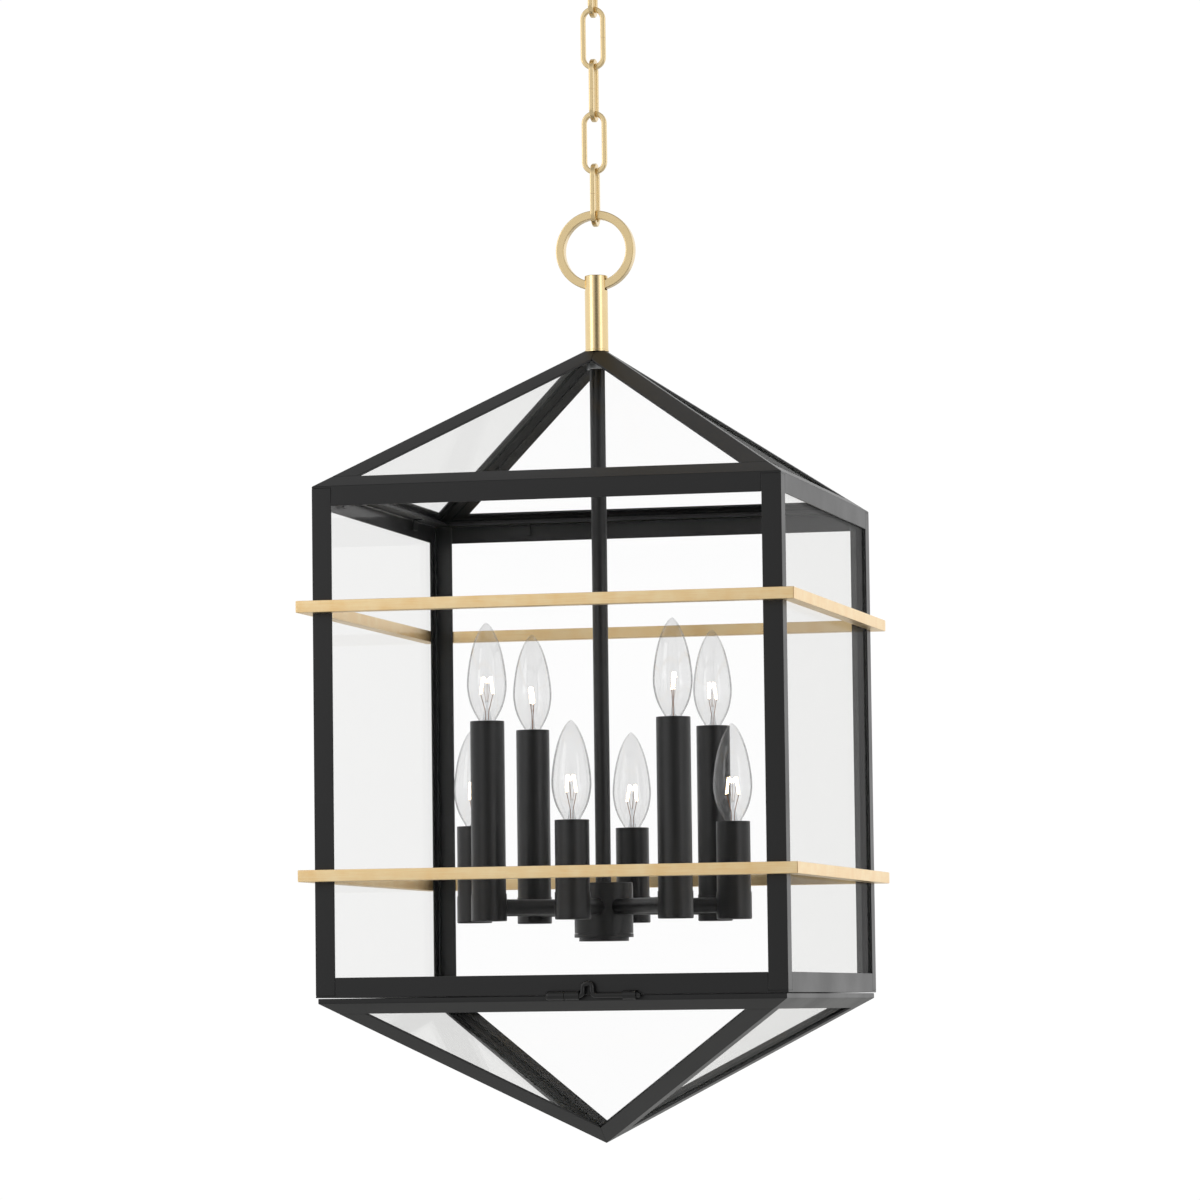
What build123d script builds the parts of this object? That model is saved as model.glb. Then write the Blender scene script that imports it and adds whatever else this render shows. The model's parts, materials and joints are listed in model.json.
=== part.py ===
from build123d import *
import math
import os

# Square hanging lantern: steel angle frame, glass panes, two brass bands, an eight-light cluster,
# a hinged glass pyramid underneath, and a chain up to a ceiling canopy.
# The origin is the centre of the canopy's mounting plane, +Z is up, the front faces -Y.
# All sizes are in millimetres.

# Driving dimensions: cage
cage_width = 381.0  # outside of the steel corner posts
cage_height = 406.4  # sill to eave
leg = 15.9  # leg of the steel angle
steel = 1.6  # thickness of the steel angle
glass = 2.5  # thickness of every pane
bed = 0.2  # silicone bed between a pane and its frame
mitre = 0.1  # saw kerf left at a mitred corner

# Driving dimensions: roof and door pyramids
roof_rise = 128.0  # eave to the point where the hips would meet
roof_flat = 17.0  # side of the small flat at the top
door_drop = 120.0  # sill to the bottom point
door_inset = 1.5  # door edge inside the cage edge
door_seam = 0.6  # gap between sill and door
door_lip = 4.0  # upright edge above the door's slope

# Driving dimensions: brass bands
band_height = 9.5
band_depth = 11.0
band_from_eave = 96.4  # eave to the upper band's middle
band_from_sill = 96.4  # sill to the lower band's middle

# Driving dimensions: suspension
canopy_radius = 63.5
canopy_depth = 24.0
canopy_wall = 1.2
canopy_rim = 5.0  # upright edge against the ceiling
canopy_bend = 14.0  # outside to the bend of the dish, in plan
canopy_bend_drop = 4.0  # bend above the flat middle
canopy_flat = 24.0  # outside to the flat middle, in plan
canopy_hole = 5.2
crossbar_length = 108.0
crossbar_width = 18.0
box_hole_spacing = 88.9  # mounting holes over a ceiling box
box_hole_radius = 2.6
wire = 4.1  # square wire of a chain link
link_length = 52.7
link_width = 21.0
link_count = 5
play = 0.9  # clearance where two links hang in each other
loop_wire = 5.0
loop_radius = 13.5  # middle line of the canopy's loop
collar_radius = 8.0
collar_height = 12.0
ring_radius = 33.0
ring_width = 7.0
ring_depth = 8.5
ring_play = 2.0
post_radius = 9.525
post_above_ring_bottom = 5.0  # post top above the ring's inner bottom
post_height = 61.4
washer_height = 1.6

# Driving dimensions: cluster of lights
stem_radius = 6.35
stem_bore = 5.1
nipple_radius = 5.0
nipple_bore = 3.4
nut_radius = 9.2  # over the corners of the nuts on the threaded tubes
seat_play = 0.05  # radial clearance of a fixed push fit
hole_play = 0.1  # radial clearance round a threaded tube
hub_radius = 24.0
hub_height = 41.2
hub_from_eave = 314.7
arm_radius = 6.35
arm_bore = 4.8
arm_from_eave = 334.5
light_circle = 109.0  # axis of the lantern to the axis of a candle
light_count = 8
cup_radius = 14.4
cup_wall = 1.5
cup_height = 22.0
cup_top_from_eave = 324.0
sleeve_radius = 13.9
sleeve_bore = 12.6
sleeve_seat = 3.0  # depth that a sleeve stands in its cup
tall_sleeve = 139.7  # above the cup's rim
short_sleeve = 57.5
socket_radius = 11.0
socket_height = 45.0
bulb_radius = 16.0
bulb_length = 78.5  # glass above the sleeve
bulb_wall = 0.7

# Driving dimensions: latch and hinge
barrel_radius = 3.6
bolt_radius = 2.1
running = 0.15  # radial clearance of a sliding or turning fit
latch_stand_off = 3.9  # bolt's axis in front of the cage
latch_height = -0.5  # bolt's axis above the sill
hinge_radius = 2.6
hinge_pin_radius = 1.3
hinge_width = 48.0

# Levels, from the ceiling down
loop_z = -canopy_depth - collar_height - loop_radius + 1.5
first_link_z = loop_z - loop_radius + loop_wire / 2 + play + wire - link_length / 2
link_pitch = link_length - 2 * wire - play
link_levels = [first_link_z - i * link_pitch for i in range(link_count)]
ring_inner = ring_radius - ring_width
ring_z = link_levels[-1] - link_length / 2 + wire + ring_play - ring_inner
post_top = ring_z - ring_inner + post_above_ring_bottom
post_foot = post_top - post_height
flat_z = post_foot - washer_height
half = cage_width / 2
eave = flat_z - roof_rise * (1 - roof_flat / cage_width)
sill = eave - cage_height
upper_band_z = eave - band_from_eave
lower_band_z = sill + band_from_sill
hub_top = eave - hub_from_eave
hub_foot = hub_top - hub_height
arm_z = eave - arm_from_eave
cup_top = eave - cup_top_from_eave
cup_foot = cup_top - cup_height
door_half = half - door_inset
door_top = sill - door_seam
door_edge = door_top - door_lip
door_point = sill - door_drop

os.makedirs("parts", exist_ok=True)


def keep(piece, name):
    """Label a finished piece and write its STEP file."""
    piece.label = name
    export_step(piece, f"parts/{name}.step")


def slope_plane(turn, side, level, rise):
    """Plane of one pyramid face: X along its base, Y up to the tip, Z outwards."""
    angle = math.radians(turn)
    across = Vector(-math.sin(angle), math.cos(angle), 0)
    outward = Vector(math.cos(angle), math.sin(angle), 0)
    uphill = Vector(-side * outward.X, -side * outward.Y, rise)
    normal = across.cross(uphill) if rise > 0 else uphill.cross(across)
    x_dir = across if rise > 0 else -across
    base = Vector(side * outward.X, side * outward.Y, level)
    return Plane(origin=base, x_dir=x_dir, z_dir=normal)


def strip_points(outer, width):
    """Outline of one mitred strip along the -Y side of a square."""
    gap = mitre / 2
    inner = outer - width
    return [(-outer + gap, -outer), (outer - gap, -outer), (inner - gap, -inner), (-inner + gap, -inner)]


def on_circle(angle, radius, height):
    return (radius * math.cos(math.radians(angle)), radius * math.sin(math.radians(angle)), height)


# --- Suspension ---

with BuildPart() as ceiling_canopy:
    with BuildSketch(Plane.XZ):
        with BuildLine():
            Polyline(
                (0, 0),
                (canopy_radius, 0),
                (canopy_radius, -canopy_rim),
                (canopy_radius - canopy_bend, canopy_bend_drop - canopy_depth),
                (canopy_radius - canopy_flat, -canopy_depth),
                (0, -canopy_depth),
                close=True,
            )
        make_face()
    revolve(axis=Axis.Z)
    offset(amount=-canopy_wall, openings=ceiling_canopy.faces().sort_by(Axis.Z)[-1])
    with BuildSketch(Plane.XY.offset(-canopy_depth)):
        Circle(canopy_hole)
    extrude(amount=2 * canopy_wall, mode=Mode.SUBTRACT)
keep(ceiling_canopy.part, "ceiling_canopy")

crossbar_thick = 2.0
with BuildPart() as canopy_crossbar:
    with BuildSketch(Plane.XY.offset(-crossbar_thick)):
        RectangleRounded(crossbar_length, crossbar_width, 4)
        Circle(canopy_hole, mode=Mode.SUBTRACT)
        with GridLocations(box_hole_spacing, 0, 2, 1):
            Circle(box_hole_radius, mode=Mode.SUBTRACT)
    extrude(amount=crossbar_thick)
keep(canopy_crossbar.part, "canopy_crossbar")

crossbar_nut_height = 4.0
with BuildPart() as crossbar_nut:
    with BuildSketch(Plane.XY.offset(-crossbar_thick - crossbar_nut_height)):
        RegularPolygon(nut_radius, 6)
        Circle(nipple_radius + seat_play, mode=Mode.SUBTRACT)
    extrude(amount=crossbar_nut_height)
keep(crossbar_nut.part, "crossbar_nut")

wire_way = 2.5  # radius of the cross hole that lets the wire out of the collar
with BuildPart() as canopy_loop:
    with BuildSketch(Plane.XZ):
        with Locations((0, loop_z)):
            Circle(loop_radius + loop_wire / 2)
            Circle(loop_radius - loop_wire / 2, mode=Mode.SUBTRACT)
    extrude(amount=loop_wire / 2, both=True)
    fillet(canopy_loop.edges().filter_by(GeomType.CIRCLE), radius=loop_wire / 2 - 0.1)
    with BuildSketch(Plane.XY.offset(-canopy_depth - collar_height)):
        Circle(collar_radius)
    extrude(amount=collar_height)
    chamfer(canopy_loop.edges().group_by(Axis.Z)[-1], length=1.0)
    with BuildSketch(Plane.XY.offset(-canopy_depth)):
        Circle(nipple_radius)
    extrude(amount=canopy_depth - 0.3)
    with BuildSketch(Plane.XY.offset(-canopy_depth - collar_height + 3)):
        Circle(nipple_bore)
    extrude(amount=canopy_depth + collar_height, mode=Mode.SUBTRACT)
    with Locations((0, 0, -canopy_depth - collar_height + 7)):
        Cylinder(radius=wire_way, height=3 * collar_radius, rotation=(90, 0, 0), mode=Mode.SUBTRACT)
keep(canopy_loop.part, "canopy_loop")

link_seam = 0.3  # width of the split in a link
for index, level in enumerate(link_levels):
    flat_plane = Plane.YZ if index % 2 == 0 else Plane.XZ
    with BuildPart() as chain_link:
        with BuildSketch(flat_plane):
            with Locations((0, level)):
                SlotOverall(link_length, link_width, rotation=90)
                SlotOverall(link_length - 2 * wire, link_width - 2 * wire, rotation=90, mode=Mode.SUBTRACT)
        extrude(amount=wire / 2, both=True)
        fillet(chain_link.edges(), radius=1.0)
        seam_side = (link_width - wire) / 2
        seam_spot = (0, -seam_side, level) if index % 2 == 0 else (seam_side, 0, level)
        with Locations(seam_spot):
            Box(2 * wire, 2 * wire, link_seam, mode=Mode.SUBTRACT)
    keep(chain_link.part, f"chain_link_{index + 1}")

with BuildPart() as hanging_ring:
    with BuildSketch(Plane.XZ):
        with Locations((0, ring_z)):
            Circle(ring_radius)
            Circle(ring_inner, mode=Mode.SUBTRACT)
    extrude(amount=ring_depth / 2, both=True)
    fillet(hanging_ring.edges().filter_by(GeomType.CIRCLE), radius=0.8)
keep(hanging_ring.part, "hanging_ring")

# The post is slotted for the ring and bored for the wire, which enters through a side hole at the back.
inlet_z = post_foot + 26
inlet_radius = 4.0
ring_gap = 0.4  # clearance between the ring and its slot
slot_top = ring_z - math.sqrt(ring_inner**2 - post_radius**2) + ring_gap
slot_foot = ring_z - ring_radius - ring_gap
post_bore_depth = 36.0
with BuildPart() as swivel_post:
    with BuildSketch(Plane.XY.offset(post_foot)):
        Circle(post_radius)
    extrude(amount=post_height)
    chamfer(swivel_post.edges().group_by(Axis.Z)[-1], length=0.5)
    with BuildSketch(Plane.XY.offset(post_foot)):
        Circle(nipple_radius + hole_play)
    extrude(amount=post_bore_depth, mode=Mode.SUBTRACT)
    with BuildSketch(Plane.YZ):
        with Locations((0, (slot_top + slot_foot) / 2)):
            Rectangle(ring_depth + 2 * ring_gap, slot_top - slot_foot)
    extrude(amount=2 * post_radius, both=True, mode=Mode.SUBTRACT)
    with BuildSketch(Plane.XZ):
        with Locations((0, inlet_z)):
            Circle(inlet_radius)
    extrude(amount=-2 * post_radius, mode=Mode.SUBTRACT)
keep(swivel_post.part, "swivel_post")

bushing_bore = 3.0
bushing_flange = 1.2
bushing_depth = 3.6
with BuildPart() as cord_bushing:
    with BuildSketch(Plane.XZ.offset(-post_radius - hole_play - bushing_flange)):
        with Locations((0, inlet_z)):
            Circle(inlet_radius + bushing_flange)
            Circle(bushing_bore, mode=Mode.SUBTRACT)
    extrude(amount=bushing_flange)
    with BuildSketch(Plane.XZ.offset(-post_radius - hole_play)):
        with Locations((0, inlet_z)):
            Circle(inlet_radius - seat_play)
            Circle(bushing_bore, mode=Mode.SUBTRACT)
    extrude(amount=bushing_depth)
keep(cord_bushing.part, "cord_bushing")

with BuildPart() as post_washer:
    with BuildSketch(Plane.XY.offset(flat_z)):
        Circle(post_radius + 0.3)
        Circle(nipple_radius + hole_play, mode=Mode.SUBTRACT)
    extrude(amount=washer_height)
    chamfer(post_washer.edges().group_by(Axis.Z)[-1].sort_by(SortBy.RADIUS)[-1], length=0.3)
keep(post_washer.part, "post_washer")

# --- Apex: plate, nipple and nut that join the roof, the post and the stem ---

slope = math.atan2(roof_rise, half)
roof_skin = steel / math.cos(slope)  # upright thickness of the sloping sheet
plate_half = 15.5
plate_thick = 3.0
plate_top = eave + roof_rise * (1 - (plate_half + steel / math.sin(slope)) / half) - seat_play
with BuildPart() as apex_plate:
    with BuildSketch(Plane.XY.offset(plate_top - plate_thick)):
        Rectangle(2 * plate_half, 2 * plate_half)
        Circle(nipple_radius + hole_play, mode=Mode.SUBTRACT)
    extrude(amount=plate_thick)
keep(apex_plate.part, "apex_plate")

apex_nut_height = 5.0
stem_top = plate_top - plate_thick - apex_nut_height
with BuildPart() as apex_locknut:
    with BuildSketch(Plane.XY.offset(stem_top)):
        RegularPolygon(nut_radius, 6)
        Circle(nipple_radius + hole_play, mode=Mode.SUBTRACT)
    extrude(amount=apex_nut_height)
    chamfer(apex_locknut.edges().group_by(Axis.Z)[0].filter_by(GeomType.LINE), length=0.5)
keep(apex_locknut.part, "apex_locknut")

nipple_foot = stem_top - 18  # as deep in the stem
nipple_top = post_foot + 20  # as deep in the post
with BuildPart() as apex_nipple:
    with BuildSketch(Plane.XY.offset(nipple_foot)):
        Circle(nipple_radius)
        Circle(nipple_bore, mode=Mode.SUBTRACT)
    extrude(amount=nipple_top - nipple_foot)
keep(apex_nipple.part, "apex_nipple")

# --- Steel cage ---

with BuildPart() as corner_posts:
    with BuildSketch(Plane.XY.offset(sill + steel)):
        with PolarLocations(0, 4):
            with Locations((half - leg / 2, half - steel / 2)):
                Rectangle(leg, steel)
            with Locations((half - steel / 2, half - leg / 2)):
                Rectangle(steel, leg)
    extrude(amount=cage_height - 2 * steel)
keep(corner_posts.part, "corner_posts")

upright = cage_width - 2 * leg - 2 * mitre
for name, plate_level, flange_level in (
    ("top_rails", eave - steel, eave - leg),
    ("sill_rails", sill, sill + steel),
):
    with BuildPart() as rails:
        with BuildSketch(Plane.XY.offset(plate_level)):
            with PolarLocations(0, 4):
                Polygon(*strip_points(half, leg), align=None)
        extrude(amount=steel)
        with BuildSketch(Plane.XY.offset(flange_level)):
            with PolarLocations(0, 4):
                with Locations((0, -half + steel / 2)):
                    Rectangle(upright, steel)
        extrude(amount=leg - steel)
    keep(rails.part, name)

band_half = half + band_depth
for name, level in (("upper_band", upper_band_z), ("lower_band", lower_band_z)):
    with BuildPart() as band:
        with BuildSketch(Plane.XY.offset(level - band_height / 2)):
            with PolarLocations(0, 4):
                Polygon(*strip_points(band_half, band_depth), align=None)
        extrude(amount=band_height)
    keep(band.part, name)

# --- Roof: a hollow frustum of sheet, cut into four eave strips and four hip rafters ---

eave_plan = leg * math.cos(slope)  # plan width of a strip that is one leg wide on the slope
hip_turn = math.atan2(half / math.cos(slope), half)  # base edge to hip, measured in the slope
hip_plan = leg / math.sin(hip_turn)  # plan offset of a hip strip one leg wide
roof_window = [
    (-(half - eave_plan - hip_plan), -(half - eave_plan)),
    (half - eave_plan - hip_plan, -(half - eave_plan)),
    (0, -hip_plan),
]
flat_half = roof_flat / 2
roof_core = half - eave_plan
with BuildPart() as roof_sheet:
    with BuildSketch(Plane.XY.offset(eave)):
        Rectangle(cage_width, cage_width)
    with BuildSketch(Plane.XY.offset(flat_z)):
        Rectangle(roof_flat, roof_flat)
    loft()
    with BuildSketch(Plane.XY.offset(eave + steel)):
        Rectangle(*[2 * (half - (steel + roof_skin) * half / roof_rise)] * 2)
    with BuildSketch(Plane.XY.offset(flat_z - roof_skin)):
        Rectangle(roof_flat, roof_flat)
    loft(mode=Mode.SUBTRACT)
    with BuildSketch(Plane.XY.offset(eave)):
        Rectangle(2 * roof_core, 2 * roof_core)
    extrude(amount=steel, mode=Mode.SUBTRACT)
    with BuildSketch(Plane.XY.offset(eave)):
        with PolarLocations(0, 4):
            Polygon(*roof_window, align=None)
    extrude(amount=roof_rise, mode=Mode.SUBTRACT)
    with BuildSketch(Plane.XY.offset(eave)):
        Circle(nipple_radius + hole_play)
    extrude(amount=roof_rise, mode=Mode.SUBTRACT)

with BuildPart() as roof_rafters:
    add(roof_sheet.part)
    with Locations((0, 0, eave + roof_rise / 2)):
        Box(2 * roof_core - mitre, 2 * roof_core - mitre, 2 * roof_rise, mode=Mode.INTERSECT)
        Box(cage_width, mitre, 2 * roof_rise, mode=Mode.SUBTRACT)
        Box(mitre, cage_width, 2 * roof_rise, mode=Mode.SUBTRACT)
keep(roof_rafters.part, "roof_rafters")

with BuildPart() as roof_eaves:
    add(roof_sheet.part)
    with Locations((0, 0, eave + roof_rise / 2)):
        Box(2 * roof_core, 2 * roof_core, 2 * roof_rise, mode=Mode.SUBTRACT)
        Box(2 * cage_width, mitre, 2 * roof_rise, rotation=(0, 0, 45), mode=Mode.SUBTRACT)
        Box(2 * cage_width, mitre, 2 * roof_rise, rotation=(0, 0, -45), mode=Mode.SUBTRACT)
keep(roof_eaves.part, "roof_eaves")

# --- Door: the same construction upside down, with an upright lip round its edge ---

door_fall = door_edge - door_point
door_slope = math.atan2(door_fall, door_half)
door_skin = steel / math.cos(door_slope)
door_strip = leg * math.cos(door_slope)
door_hip_turn = math.atan2(door_half / math.cos(door_slope), door_half)
door_hip = leg / math.sin(door_hip_turn)
door_core = door_half - door_strip
door_window = [
    (-(door_half - door_strip - door_hip), -(door_half - door_strip)),
    (door_half - door_strip - door_hip, -(door_half - door_strip)),
    (0, -door_hip),
]
tip = 0.6  # the point is ground to a tiny flat
with BuildPart() as door_sheet:
    with BuildSketch(Plane.XY.offset(door_edge)):
        Rectangle(2 * door_half, 2 * door_half)
    extrude(amount=door_lip)
    with BuildSketch(Plane.XY.offset(door_edge)):
        Rectangle(2 * door_half, 2 * door_half)
    with BuildSketch(Plane.XY.offset(door_point)):
        Rectangle(tip, tip)
    loft()
    with BuildSketch(Plane.XY.offset(door_edge)):
        Rectangle(*[2 * (door_half - door_skin * door_half / door_fall)] * 2)
    with BuildSketch(Plane.XY.offset(door_point + door_skin)):
        Rectangle(tip, tip)
    loft(mode=Mode.SUBTRACT)
    with BuildSketch(Plane.XY.offset(door_edge)):
        Rectangle(*[2 * (door_half - door_skin * door_half / door_fall)] * 2)
    extrude(amount=door_lip - steel, mode=Mode.SUBTRACT)
    with BuildSketch(Plane.XY.offset(door_edge)):
        Rectangle(2 * door_core, 2 * door_core)
    extrude(amount=2 * door_lip, mode=Mode.SUBTRACT)
    with BuildSketch(Plane.XY.offset(door_point)):
        with PolarLocations(0, 4):
            Polygon(*door_window, align=None)
    extrude(amount=door_drop, mode=Mode.SUBTRACT)

with BuildPart() as door_rafters:
    add(door_sheet.part)
    with Locations((0, 0, door_edge - door_fall / 2)):
        Box(2 * door_core - mitre, 2 * door_core - mitre, 2 * door_fall, mode=Mode.INTERSECT)
        Box(cage_width, mitre, 2 * door_fall, mode=Mode.SUBTRACT)
        Box(mitre, cage_width, 2 * door_fall, mode=Mode.SUBTRACT)
keep(door_rafters.part, "door_rafters")

with BuildPart() as door_rails:
    add(door_sheet.part)
    with Locations((0, 0, door_edge - door_fall / 2)):
        Box(2 * door_core, 2 * door_core, 3 * door_fall, mode=Mode.SUBTRACT)
        Box(2 * cage_width, mitre, 3 * door_fall, rotation=(0, 0, 45), mode=Mode.SUBTRACT)
        Box(2 * cage_width, mitre, 3 * door_fall, rotation=(0, 0, -45), mode=Mode.SUBTRACT)
keep(door_rails.part, "door_rails")

# --- Glass ---

sides = (("front", -90), ("right", 0), ("back", 90), ("left", 180))
pane_face = half - steel - bed
pane_height = cage_height - 2 * steel - 2 * bed
for name, turn in sides:
    face_to_face = name in ("front", "back")
    pane_half = pane_face if face_to_face else pane_face - glass - bed
    x, y, z = on_circle(turn, pane_face - glass / 2, sill + steel + bed)
    size = (2 * pane_half, glass) if face_to_face else (glass, 2 * pane_half)
    with BuildPart() as side_pane:
        with BuildSketch(Plane((x, y, z))):
            Rectangle(*size)
        extrude(amount=pane_height)
    keep(side_pane.part, f"glass_{name}")

pane_margin = 9.0  # sloping glass edge back from the hip line
roof_pane_foot = 10.0  # lower edge of the roof glass above the eave line, on the slope
roof_pane_top = 18.7  # upper edge back from the axis, in plan
door_pane_top = 6.0  # upper edge of the door glass below the door's edge line, on the slope
door_pane_foot = 14.0  # lower edge back from the axis, in plan
for name, turn in sides:
    length = math.hypot(half, roof_rise)
    first = roof_pane_foot
    last = (half - roof_pane_top) / math.cos(slope)
    widths = [half * (1 - v / length) - pane_margin for v in (first, last)]
    outline = [(-widths[0], first), (widths[0], first), (widths[1], last), (-widths[1], last)]
    with BuildPart() as roof_pane:
        with BuildSketch(slope_plane(turn, half, eave, roof_rise).offset(-steel - bed - glass)):
            Polygon(*outline, align=None)
        extrude(amount=glass)
    keep(roof_pane.part, f"roof_glass_{name}")

for name, turn in sides:
    length = math.hypot(door_half, door_fall)
    first = door_pane_top
    last = (door_half - door_pane_foot) / math.cos(door_slope)
    widths = [door_half * (1 - v / length) - pane_margin for v in (first, last)]
    outline = [(-widths[0], first), (widths[0], first), (widths[1], last), (-widths[1], last)]
    with BuildPart() as door_pane:
        with BuildSketch(slope_plane(turn, door_half, door_edge, -door_fall).offset(-steel - bed - glass)):
            Polygon(*outline, align=None)
        extrude(amount=glass)
    keep(door_pane.part, f"door_glass_{name}")

# Small bent tabs behind the upright panes, two on each rail.
tab_thick = 0.8
tab_width = 12.0
tab_height = 9.0
tab_foot = 7.0
tab_spread = 110.0  # middle of a rail to a tab
tab_y = -(pane_face - glass - bed - tab_thick / 2)
with BuildPart() as glass_clips:
    for along in (-tab_spread, tab_spread):
        for foot, stand in (
            (sill + steel + tab_thick / 2, sill + steel + tab_height / 2),
            (eave - steel - tab_thick / 2, eave - steel - tab_height / 2),
        ):
            with PolarLocations(0, 4):
                with Locations((along, tab_y, stand)):
                    Box(tab_width, tab_thick, tab_height)
                with Locations((along, tab_y + tab_foot / 2, foot)):
                    Box(tab_width, tab_foot, tab_thick)
keep(glass_clips.part, "glass_clips")

# --- Hinge at the back edge of the door ---

hinge_y = half + hinge_radius + 0.3
hinge_z = sill - door_seam / 2
knuckle = hinge_width / 3
leaf_thick = 1.0
leaf_height = 12.0
curl = 1.6  # thickness of the sheet where it curls into a knuckle
barrel_gap = 0.2  # between neighbouring knuckles
with BuildPart() as hinge_body_leaf:
    with BuildSketch(Plane.YZ.offset(-hinge_width / 2)):
        with Locations((hinge_y, hinge_z)):
            Circle(hinge_radius)
        with Locations((half + leaf_thick / 2, sill + leaf_height / 2)):
            Rectangle(leaf_thick, leaf_height)
        with Locations((half + hinge_radius / 2, sill + curl / 2)):
            Rectangle(hinge_radius, curl)
        with Locations((hinge_y, hinge_z)):
            Circle(hinge_pin_radius + running, mode=Mode.SUBTRACT)
    extrude(amount=hinge_width)
    with Locations((0, hinge_y, hinge_z - 1)):
        Box(knuckle + 2 * barrel_gap, 4 * hinge_radius, 4 * hinge_radius, mode=Mode.SUBTRACT)
    with BuildSketch(Plane.XZ.offset(-half)):
        with Locations((0, sill + 2 * leaf_height / 3)):
            Rectangle(knuckle + 2, 2 * leaf_height / 3)
    extrude(amount=-leaf_thick)
keep(hinge_body_leaf.part, "hinge_body_leaf")

door_leaf_height = 11.0
bridge_foot = door_edge - 1.2
bridge_top = hinge_z - hinge_radius + 0.9
bridge_width = 4.2
with BuildPart() as hinge_door_leaf:
    with BuildSketch(Plane.YZ.offset(-knuckle / 2 + barrel_gap / 2)):
        with Locations((hinge_y, hinge_z)):
            Circle(hinge_radius)
        with Locations((door_half + seat_play + bridge_width / 2, (bridge_foot + bridge_top) / 2)):
            Rectangle(bridge_width, bridge_top - bridge_foot)
        with Locations((hinge_y, hinge_z)):
            Circle(hinge_pin_radius + running, mode=Mode.SUBTRACT)
    extrude(amount=knuckle - barrel_gap)
    with BuildSketch(slope_plane(90, door_half, door_edge, -door_fall).offset(0.03)):
        with Locations((0, door_leaf_height / 2)):
            Rectangle(hinge_width, door_leaf_height)
    extrude(amount=leaf_thick)
keep(hinge_door_leaf.part, "hinge_door_leaf")

pin_end = 1.5  # pin beyond its barrel at each end
pin_head_radius = 2.1
pin_head = 1.2
with BuildPart() as hinge_pin:
    with BuildSketch(Plane.YZ.offset(-hinge_width / 2 - pin_end)):
        with Locations((hinge_y, hinge_z)):
            Circle(hinge_pin_radius)
    extrude(amount=hinge_width + 2 * pin_end)
    with BuildSketch(Plane.YZ.offset(-hinge_width / 2 - pin_end)):
        with Locations((hinge_y, hinge_z)):
            Circle(pin_head_radius)
    extrude(amount=pin_head)
keep(hinge_pin.part, "hinge_pin")

# --- Latch on the front: a keeper on the door, two guides on the sill and a bent-wire bolt ---

bolt_y = -half - latch_stand_off
bolt_z = sill + latch_height
keeper_span = (-2.7, 12.7)
guide_spans = ((13.1, 24.6), (59.8, 70.2))
bolt_start = 13.0
bolt_end = 73.7
thumb_span = (27.4, 34.8)
thumb_height = 9.4
bolt_bend = 3.5
foot_height = 2.2  # bar between a barrel and the steel
keeper_wall = 2.0  # closed end of the keeper
barrel_bore = bolt_radius + running
with BuildPart() as latch_keeper:
    with BuildSketch(Plane.YZ.offset(keeper_span[0])):
        with Locations((bolt_y, bolt_z)):
            Circle(barrel_radius)
    extrude(amount=keeper_span[1] - keeper_span[0])
    fillet(latch_keeper.edges().group_by(Axis.X)[0], radius=3.0)
    with BuildSketch(Plane.XZ.offset(door_half)):
        with Locations(((keeper_span[0] + keeper_span[1]) / 2 + 1.5, door_edge + 1.3)):
            Rectangle(keeper_span[1] - keeper_span[0] - 2 * keeper_wall, foot_height)
    extrude(amount=latch_stand_off + door_inset - 1)
    with BuildSketch(Plane.YZ.offset(keeper_span[0] + keeper_wall)):
        with Locations((bolt_y, bolt_z)):
            Circle(barrel_bore)
    extrude(amount=keeper_span[1], mode=Mode.SUBTRACT)
keep(latch_keeper.part, "latch_keeper")

with BuildPart() as latch_guides:
    for start, end in guide_spans:
        with BuildSketch(Plane.YZ.offset(start)):
            with Locations((bolt_y, bolt_z)):
                Circle(barrel_radius)
            with Locations((-half - latch_stand_off / 2, sill + foot_height)):
                Rectangle(latch_stand_off, foot_height)
            with Locations((bolt_y, bolt_z)):
                Circle(barrel_bore, mode=Mode.SUBTRACT)
        extrude(amount=end - start)
keep(latch_guides.part, "latch_guides")

with BuildPart() as latch_bolt:
    with BuildLine(Plane.XZ.offset(-bolt_y)) as bolt_path:
        FilletPolyline(
            (bolt_start, bolt_z),
            (thumb_span[0], bolt_z),
            (thumb_span[0], bolt_z + thumb_height),
            (thumb_span[1], bolt_z + thumb_height),
            (thumb_span[1], bolt_z),
            (bolt_end, bolt_z),
            radius=bolt_bend,
        )
    with BuildSketch(Plane.YZ.offset(bolt_start)):
        with Locations((bolt_y, bolt_z)):
            Circle(bolt_radius)
    sweep(path=bolt_path.line)
    fillet(latch_bolt.edges().group_by(Axis.X)[-1], radius=1.6)
keep(latch_bolt.part, "latch_bolt")

# --- Cluster: stem, hub, arms, cups, sleeves, sockets and bulbs ---

stem_socket = 5.0  # depth that the stem stands in the hub
stem_foot = hub_top - stem_socket
with BuildPart() as stem_tube:
    with BuildSketch(Plane.XY.offset(stem_foot)):
        Circle(stem_radius)
        Circle(stem_bore, mode=Mode.SUBTRACT)
    extrude(amount=stem_top - stem_foot)
keep(stem_tube.part, "stem_tube")

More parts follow.
